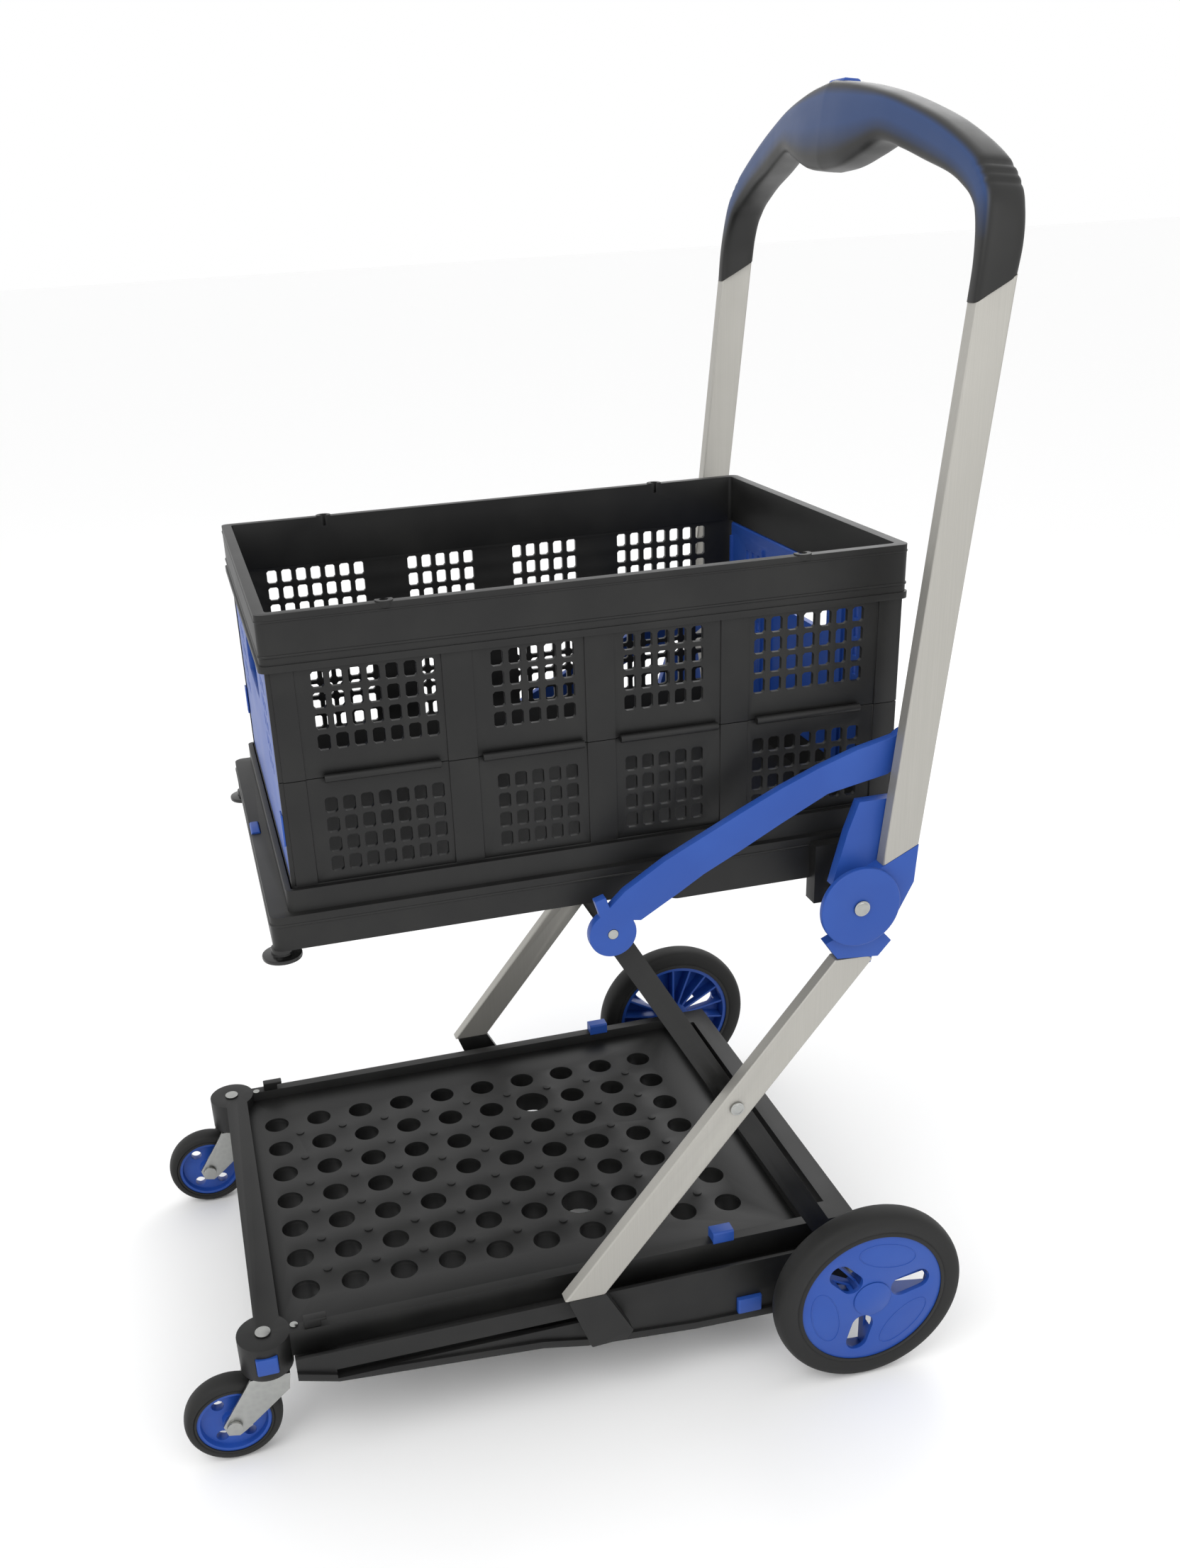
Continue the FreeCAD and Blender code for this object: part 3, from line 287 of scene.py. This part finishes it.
# %% Make the soft-touch material
def soft_touch():
    material, tree, shader = new_material("soft_touch_rubber_two_colour", {"Specular IOR Level": 0.4})
    where = add_node(tree, "ShaderNodeTexCoord")
    field = add_node(tree, "ShaderNodeAttribute", attribute_name="inlay")
    grain = add_node(tree, "ShaderNodeTexNoise", {"Scale": per_mm(1.0)},
                     {"Vector": where.outputs["Object"]})
    cloud = add_node(tree, "ShaderNodeTexNoise", {"Scale": per_mm(30), "Detail": 3.0},
                     {"Vector": where.outputs["Object"]})
    tint = add_node(tree, "ShaderNodeMix", {"A": hex_color("#191918"), "B": hex_color("#1B3866")},
                    {"Factor": field.outputs["Fac"]}, data_type="RGBA")
    tree.links.new(tint.outputs["Result"], shader.inputs["Base Color"])
    gloss = add_node(tree, "ShaderNodeMapRange", {"To Min": 0.34, "To Max": 0.52},
                     {"Value": cloud.outputs["Fac"]})
    tree.links.new(gloss.outputs["Result"], shader.inputs["Roughness"])
    bump = add_node(tree, "ShaderNodeBump", {"Strength": 0.5, "Distance": 0.05 * MM},
                    {"Height": grain.outputs["Fac"]})
    tree.links.new(bump.outputs["Normal"], shader.inputs["Normal"])
    return material


grip_skin = soft_touch()
print("grip:", grip_skin.name)

# %% [markdown]
# ## From a hard model to a moulded one
# An engineering solid has knife edges, and no moulded or pressed part has them: light catches a small
# radius on every real edge. `soften` copies a node's mesh, joins its triangles back to flat
# faces, bevels each sharp edge by the radius of that piece and shades it smooth. The copy stands for
# the node.

# %% The softening helper
def link(name, data):
    thing = bpy.data.objects.new(name, data)
    bpy.context.scene.collection.objects.link(thing)
    return thing


def shade(bm, angle=38):
    """Smooth faces, with creases where two faces meet more steeply than an angle in degrees."""
    for face in bm.faces:
        face.smooth = True
    for edge in bm.edges:
        edge.smooth = len(edge.link_faces) == 2 and edge.calc_face_angle(0) < math.radians(angle)


def finish_piece(name, bm, material, body, replaces=()):
    """Turn a bmesh into an object with a finish that rides on a body."""
    data = bpy.data.meshes.new(name)
    bm.to_mesh(data)
    bm.free()
    data.materials.append(material)
    thing = link(name, data)
    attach(thing, body)
    if replaces:
        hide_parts(*replaces)
    return thing


def soften(node, material, radius_mm, steep=32, segments=2):
    bm = bmesh.new()
    bm.from_mesh(frame["nodes"][node].data)
    bmesh.ops.remove_doubles(bm, verts=bm.verts, dist=0.01 * MM)
    bmesh.ops.dissolve_limit(bm, angle_limit=math.radians(1.0), verts=bm.verts, edges=bm.edges)
    sharp = [e for e in bm.edges
             if len(e.link_faces) == 2 and e.calc_face_angle(0) > math.radians(steep)]
    bmesh.ops.bevel(bm, geom=sharp, offset=radius_mm * MM, segments=segments, profile=0.6,
                    affect="EDGES", clamp_overlap=True, offset_type="OFFSET")
    bmesh.ops.remove_doubles(bm, verts=bm.verts, dist=0.004 * MM)
    bmesh.ops.triangulate(bm, faces=[f for f in bm.faces if len(f.verts) > 4])
    shade(bm)
    return finish_piece(node + "_finished", bm, material, NODE_BODY[node], [node])


def both_sides(name):
    return (name + "_left", name + "_right")


SOFTENED = [
    (black_pp, 1.0, ("base_frame", "deck_hooks", *both_sides("side_channel"), *both_sides("inner_leg"))),
    (black_pp, 0.5, ("deck_panel",)),
    (black_pp, 1.2, ("tray", "crate_rim")),
    (black_pp, 0.6, ("crate_floor", "leg_feet", *both_sides("side_panel_upper"),
                     *both_sides("side_panel_lower"), "panel_hinges")),
    (black_gloss, 1.2, ("tray_feet",)),
    (blue_pp, 0.9, (*both_sides("brace_arm"), *both_sides("hub"), *both_sides("handle_bracket"))),
    (blue_pp, 0.5, ("front_panel", "rear_panel", "crate_latches", "deck_clips", "tray_clip",
                    "grip_button", *both_sides("corner_button"), *both_sides("side_tab"),
                    *both_sides("release_lever"))),
    (blue_hub_pp, 0.5, (*both_sides("rear_hub"), *both_sides("caster_hub"), "axle_caps")),
    (steel, 0.4, (*both_sides("caster_fork"), *both_sides("caster_bolt"), *both_sides("king_pin"),
                  "rear_axle")),
    (rivet_steel, 0.5, ("base_screws", "cross_pins", "knee_pins", "hub_pins")),
    (leg_aluminium, 0.3, both_sides("outer_leg")),
    (tube_aluminium, 0.3, both_sides("handle_tube")),
]
for material, radius, names in SOFTENED:
    for node in names:
        soften(node, material, radius)
print("softened nodes:", sum(len(names) for _, _, names in SOFTENED))

# %% [markdown]
# ## Tyres
# A tyre is a ring, so one outline turned round the axle makes it. `lathe` turns an outline given as
# (place along the axle, radius). The tread is crowned, and a shallow step in each sidewall marks
# where the rubber meets the rim.

# %% Turn the tyres
STEP_DEPTH = 0.8 * MM
CROWN_POWER = 0.62    # below 1, so the tread is flat in the middle and drops near the shoulders


def lathe(outline, centre, steps=128):
    """Turn a closed outline of (x, radius) points, in metres, about an X axis through centre."""
    bm = bmesh.new()
    rings = []
    for k in range(steps):
        a = 2 * math.pi * k / steps
        rings.append([bm.verts.new(centre + Vector((x, r * math.cos(a), r * math.sin(a))))
                      for x, r in outline])
    for k in range(steps):
        near, far = rings[k], rings[(k + 1) % steps]
        for i in range(len(outline)):
            j = (i + 1) % len(outline)
            bm.faces.new((near[i], near[j], far[j], far[i]))
    bmesh.ops.recalc_face_normals(bm, faces=bm.faces)
    return bm


def tyre_outline(half, rim, tread, crown, step):
    """Half a width, the inner radius, the tread radius, the crown's drop and the sidewall step."""
    shoulder = tread - crown
    arc = []
    for k in range(13):
        a = math.radians(-90 + 15 * k)
        arc.append((half * math.sin(a), shoulder + crown * abs(math.cos(a)) ** CROWN_POWER))
    side = [(-half, rim), (-half, rim + step),
            (-half + STEP_DEPTH, rim + 1.4 * step), (-half, rim + 2 * step)]
    mirrored = [(-x, r) for x, r in reversed(side)]
    return side + arc + mirrored


# the inner radius, the drop of the crown and the sidewall step, in mm
TYRES = {"rear_tyre": (64.3, 8, 2.6), "caster_tyre": (31, 6.5, 1.6)}
for kind, (rim, crown, step) in TYRES.items():
    for node in both_sides(kind):
        low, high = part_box(node)
        middle = (low + high) / 2
        outline = tyre_outline((high.x - low.x) / 2, rim * MM, (high.z - low.z) / 2,
                               crown * MM, step * MM)
        bm = lathe(outline, middle)
        shade(bm)
        finish_piece(node + "_rubber", bm, rubber, NODE_BODY[node], [node])

# %% [markdown]
# ## The grip
# The grip is a loop of soft skin over a core. It is built as a row of rounded cross-sections along
# an arch, as a hull is built of frames: each station gives the outer and inner edge of the arch, how
# far it bows forward and how deep it is. Three fine grooves cross each shoulder, and a palm swell
# hangs in the middle.

# %% Loft the grip
LEAN = math.radians(6.05)
HANDLE_FOOT = Vector((0, 268.6, 485))
# outer x, outer z, inner x, inner z, forward bow, half depth; in mm, from one limb to the middle
STATIONS = [
    (229.3, 884, 213.9, 884, 0, 14.4), (229.3, 905, 214.5, 905, 0, 15), (227, 925, 209, 924, 0, 15),
    (221.5, 942, 199, 936, 0, 15), (209, 957, 184, 944.5, 0.5, 15), (186, 971, 165, 952.5, 2, 15),
    (150, 987, 135, 961, 5.5, 15), (115, 998.5, 108, 969, 9.5, 15), (84, 1007, 82, 974.5, 13, 15.2),
    (58, 1012.5, 56, 967.5, 15.5, 15.6), (30, 1017, 29, 960.5, 17.3, 16), (0, 1020, 0, 958, 18, 16.2)]
END_SLANT = 0.652     # the limb ends are cut at an angle, rising to the rear
SLANT_RINGS = 20      # rings over which the slant fades out
SQUARENESS = 0.5      # 1 is an ellipse, and smaller is nearer to a rectangle
GROOVES = (27, 30, 33)            # rings that carry a shoulder groove
GROOVE_WIDE, GROOVE_DEEP = 0.9, 0.12
INLAY_FROM_END = 12   # rings without blue at each end of the loop, and rings over which it fades in


def ramp(value, start, width):
    """0 up to start, rising to 1 over a width."""
    return min(1.0, max(0.0, (value - start) / width))


def smooth_row(rows, steps):
    """Points on a smooth curve through rows of numbers."""
    out = []
    for i in range(len(rows) - 1):
        p0, p1, p2 = rows[max(i - 1, 0)], rows[i], rows[i + 1]
        p3 = rows[min(i + 2, len(rows) - 1)]
        for k in range(steps):
            t = k / steps
            out.append([0.5 * (2 * b + (c - a) * t + (2 * a - 5 * b + 4 * c - d) * t * t
                               + (3 * b - a - 3 * c + d) * t ** 3)
                        for a, b, c, d in zip(p0, p1, p2, p3)])
    out.append(list(rows[-1]))
    return out


def loft_grip(around=40):
    """The grip's skin, with the blue field as a value on its points."""
    half = smooth_row(STATIONS, 8)
    full = half + [[-s[0], s[1], -s[2], *s[3:]] for s in reversed(half[:-1])]
    bm = bmesh.new()
    inlay = bm.verts.layers.float.new("inlay")
    rings = []
    total = len(full)
    for n, (ox, oz, ix, iz, bow, deep) in enumerate(full):
        outer, inner = Vector((ox, 0, oz)), Vector((ix, 0, iz))
        middle, reach = (outer + inner) / 2, (outer - inner) / 2
        from_end = min(n, total - 1 - n)
        slant = END_SLANT * max(0.0, 1 - from_end / SLANT_RINGS)
        groove = sum(math.exp(-((from_end - at) / GROOVE_WIDE) ** 2) for at in GROOVES)
        ring = []
        for k in range(around):
            a = 2 * math.pi * k / around
            c, s = math.cos(a), math.sin(a)
            u = math.copysign(abs(c) ** SQUARENESS, c)
            v = math.copysign(abs(s) ** SQUARENESS, s)
            dent = 1 - GROOVE_DEEP * groove * (1 if c > 0.25 else 0)
            point = middle + reach * u * dent + Vector((0, deep * v - bow, 0))
            point.z += slant * deep * v
            vert = bm.verts.new(point)
            lower, upper = ramp(u, -0.62, 0.5), ramp(-u, -0.88, 0.2)
            ends = ramp(from_end, INLAY_FROM_END, INLAY_FROM_END)
            vert[inlay] = ramp(-v, 0.72, 0.2) * lower * upper * ends
            ring.append(vert)
        rings.append(ring)
    for near, far in zip(rings, rings[1:]):
        for k in range(around):
            j = (k + 1) % around
            bm.faces.new((near[k], near[j], far[j], far[k]))
    for ring in (rings[0], rings[-1]):
        bm.faces.new(ring)
    bmesh.ops.recalc_face_normals(bm, faces=bm.faces)
    place_handle(bm)
    return bm


def place_handle(bm):
    """Move points from the handle's own upright plane to its place, leaning back."""
    bm.transform(Matrix.Translation(Vector((0, HANDLE_FOOT.y, 0))))
    lean = (Matrix.Translation(HANDLE_FOOT) @ Matrix.Rotation(-LEAN, 4, "X")
            @ Matrix.Translation(-HANDLE_FOOT))
    bm.transform(lean)
    bm.transform(Matrix.Scale(MM, 4))


grip_mesh = loft_grip()
shade(grip_mesh, 50)
finish_piece("grip_skin", grip_mesh, grip_skin, "handle", ["grip"])
print("grip stations:", len(STATIONS))

# %% [markdown]
# ## Under the deck
# The deck is a thin skin, so the moulder puts a short collar under each hole to stiffen it. From above
# and to the side, the collars are what makes the holes look dark. Their rows start from the deck's
# own box.

# %% Collars under the deck holes
PITCH, HOLE, LARGE_HOLE, FIRST = 43 * MM, 12 * MM, 16.5 * MM, 26 * MM
COLLAR_DEPTH, COLLAR_WALL = 17 * MM, 1.8 * MM
COLLAR_PLAY, COLLAR_SINK = 0.1 * MM, 0.5 * MM     # clear of the bore, and up into the deck's skin
ROWS, COLUMNS = range(10), range(-3, 4)
LARGE_ROW, LARGE_COLUMN = 6, 2


def add_tube(bm, centre, inner, outer, top, bottom, steps=28):
    """An upright tube with an open bore."""
    rings = []
    for radius, z in ((inner, top), (outer, top), (outer, bottom), (inner, bottom)):
        rings.append([bm.verts.new((centre.x + radius * math.cos(2 * math.pi * k / steps),
                                    centre.y + radius * math.sin(2 * math.pi * k / steps), z))
                      for k in range(steps)])
    for near, far in zip(rings, rings[1:] + rings[:1]):
        for k in range(steps):
            j = (k + 1) % steps
            bm.faces.new((near[k], near[j], far[j], far[k]))


deck_low, deck_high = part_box("deck_panel")
collars = bmesh.new()
for row in ROWS:
    for column in COLUMNS:
        large = abs(column) == LARGE_COLUMN and row == LARGE_ROW
        radius = LARGE_HOLE if large else HOLE
        centre = Vector((column * PITCH, deck_low.y + FIRST + row * PITCH, 0))
        add_tube(collars, centre, radius + COLLAR_PLAY, radius + COLLAR_WALL,
                 deck_low.z + COLLAR_SINK, deck_low.z - COLLAR_DEPTH)
bmesh.ops.recalc_face_normals(collars, faces=collars.faces)
shade(collars)
finish_piece("deck_collars", collars, black_pp, "base")
print("collars:", len(ROWS) * len(COLUMNS), "depth", COLLAR_DEPTH)

# %% [markdown]
# ## Mouldings that run round a piece
# The crate rim has a rounded bead above its lip, and the tray has a shallow step. Both follow a rounded
# rectangle, so one helper walks round it with a small half-round profile.

# %% Beads round the crate and the tray
def bead_round(name, low, high, z, size, corner, body):
    """A half-round bead on the outside of a rounded rectangle that spans low to high."""
    path = []
    for x, y, start in ((high.x - corner, high.y - corner, 0), (low.x + corner, high.y - corner, 90),
                        (low.x + corner, low.y + corner, 180), (high.x - corner, low.y + corner, 270)):
        for k in range(9):
            a = math.radians(start + 90 * k / 8)
            path.append((Vector((x, y, z)) + Vector((math.cos(a), math.sin(a), 0)) * corner,
                         Vector((math.cos(a), math.sin(a), 0))))
    bm = bmesh.new()
    rings = []
    for point, outward in path:
        rings.append([bm.verts.new(point + outward * size * math.cos(math.radians(t)) * 0.8
                                   + Vector((0, 0, size * math.sin(math.radians(t)))))
                      for t in range(-90, 91, 30)])
    for k, near in enumerate(rings):
        far = rings[(k + 1) % len(rings)]
        for i in range(len(near)):
            j = (i + 1) % len(near)
            bm.faces.new((near[i], near[j], far[j], far[i]))
    bmesh.ops.recalc_face_normals(bm, faces=bm.faces)
    shade(bm)
    finish_piece(name, bm, black_pp, body)


rim_low, rim_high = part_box("crate_rim")
rim_inset = Vector((1.5 * MM, 1.5 * MM, 0))
for name, z, size in (("crate_rim_bead", rim_low.z + 11 * MM, 1.1 * MM),
                      ("crate_rim_top_bead", rim_high.z - 6 * MM, 0.7 * MM)):
    bead_round(name, rim_low + rim_inset, rim_high - rim_inset, z, size, 6 * MM, "crate")
tray_low, tray_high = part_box("tray")
ear_reach = Vector((10.9 * MM, 0, 0))      # the tray's box includes the ears at its sides
bead_round("tray_step_bead", tray_low + ear_reach, tray_high - ear_reach, tray_high.z - 24 * MM,
           1.0 * MM, 8 * MM, "tray")

# %% [markdown]
# ## Rivets and wheel faces
# The pivots are closed with domed rivets, which are small turned caps. The rear wheel's blue face has
# three large shallow ovals pressed into it; a fine raised outline shows the edge of each one.

# %% Domed rivets
SIDES = ((1, "left"), (-1, "right"))
DOME_HEIGHT, DOME_SINK, DOME_ROOT = 0.8 * MM, 0.2 * MM, 0.6 * MM
DOME_TIP = 0.02 * MM      # the turned outline stops just short of its axis


def dome_on(name, node, side, radius, body):
    """A domed head on the outer face of a pin's node, on one side of the cart."""
    low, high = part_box(node)
    face = high.x if side > 0 else low.x
    centre = Vector((0, (low.y + high.y) / 2, (low.z + high.z) / 2))
    outline = []
    for k in range(9):
        a = math.radians(90 * k / 8)
        outline.append((face + side * DOME_HEIGHT * math.sin(a) - side * DOME_SINK,
                        max(radius * math.cos(a), DOME_TIP)))
    outline.append((face - side * DOME_ROOT, DOME_TIP))
    outline.append((face - side * DOME_ROOT, radius))
    bm = lathe(outline, centre, steps=32)
    shade(bm, 50)
    finish_piece(name, bm, rivet_steel, body)


for side, word in SIDES:
    dome_on("hub_rivet_" + word, "hub_pins", side, 5.2 * MM, "outer_legs")
    dome_on("cross_rivet_" + word, "cross_pins", side, 4.6 * MM, "inner_legs")


# %% Oval recesses on the rear wheels
OVAL_ANGLES = (74, 194, 314)
OVAL_CENTRE, OVAL_LONG, OVAL_SHORT, OVAL_ROD = 44 * MM, 27 * MM, 12 * MM, 0.45 * MM
ROD_SIDES = 6


def add_oval(bm, centre, angle, half_long, half_short, rod, steps=48):
    """A thin rounded outline of an oval in a plane across X; angle is that of its centre line."""
    tangent = Vector((0, -math.sin(angle), math.cos(angle)))
    outward = Vector((0, math.cos(angle), math.sin(angle)))
    rings = []
    for k in range(steps):
        a = 2 * math.pi * k / steps
        flat = tangent * math.cos(a) + outward * math.sin(a)
        point = centre + tangent * half_long * math.cos(a) + outward * half_short * math.sin(a)
        rings.append([bm.verts.new(point + flat * rod * math.cos(b) + Vector((rod * math.sin(b), 0, 0)))
                      for b in (2 * math.pi * i / ROD_SIDES for i in range(ROD_SIDES))])
    for k in range(steps):
        near, far = rings[k], rings[(k + 1) % steps]
        for i in range(ROD_SIDES):
            j = (i + 1) % ROD_SIDES
            bm.faces.new((near[i], near[j], far[j], far[i]))


for side, word in SIDES:
    low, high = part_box("rear_hub_" + word)
    face = high.x if side > 0 else low.x
    axle = Vector((face, (low.y + high.y) / 2, (low.z + high.z) / 2))
    ovals = bmesh.new()
    for turn in OVAL_ANGLES:
        angle = math.radians(turn)
        away = Vector((0, math.cos(angle), math.sin(angle))) * OVAL_CENTRE
        add_oval(ovals, axle + away, angle, OVAL_LONG, OVAL_SHORT, OVAL_ROD)
    bmesh.ops.recalc_face_normals(ovals, faces=ovals.faces)
    shade(ovals, 70)
    finish_piece("wheel_ovals_" + word, ovals, blue_hub_pp, "rear_wheel_" + word)
print("rivets and ovals done")

# %% [markdown]
# ## The floor and the last lines
# The floor is one wide plain sheet.

# %% Lay the floor, and finish
FLOOR_SIZE = 30
floor_mesh = bmesh.new()
bmesh.ops.create_grid(floor_mesh, x_segments=1, y_segments=1, size=FLOOR_SIZE)
floor_data = bpy.data.meshes.new("floor")
floor_mesh.to_mesh(floor_data)
floor_mesh.free()
floor = link("floor", floor_data)
floor_material, _, _ = new_material("pale_floor", {"Base Color": hex_color("#FCFCFC"), "Roughness": 0.7})
floor_data.materials.append(floor_material)
